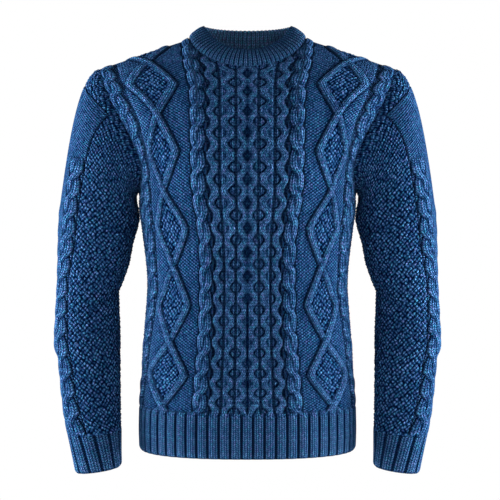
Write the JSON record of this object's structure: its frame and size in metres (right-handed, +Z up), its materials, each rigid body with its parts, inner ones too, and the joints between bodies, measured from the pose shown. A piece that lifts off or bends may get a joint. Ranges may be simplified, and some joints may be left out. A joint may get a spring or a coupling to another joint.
{
  "type": "fisherman sweater",
  "caption": "Hollow worn fisherman sweater in cabled wool: long set-in sleeves, ribbed hem and cuffs and a doubled round neckband, open at neck, hem and cuffs.",
  "frame": {"origin": "between the shoulders, on the centre plane, at the height of the side neck points and in the plane of the shoulder and side seams, where the wearer carries the garment", "axes": "+Z up along the body, -Y to the front of the garment, +X to the wearer's left"},
  "size_m": [0.6484, 0.2647, 0.7433],
  "materials": {
    "cabled_wool": "heathered indigo worsted wool, knitted in cables, honeycomb, diamonds and moss stitch",
    "ribbed_wool": "the same wool in two-by-two rib, and in one-by-one rib, doubled, at the neck"
  },
  "bodies": {
    "root": {"front_panel": "cabled_wool", "back_panel": "cabled_wool", "left_sleeve": "cabled_wool", "right_sleeve": "cabled_wool", "front_hem_rib": "ribbed_wool", "back_hem_rib": "ribbed_wool", "left_cuff": "ribbed_wool", "right_cuff": "ribbed_wool", "neckband": "ribbed_wool"}
  },
  "joints": []
}
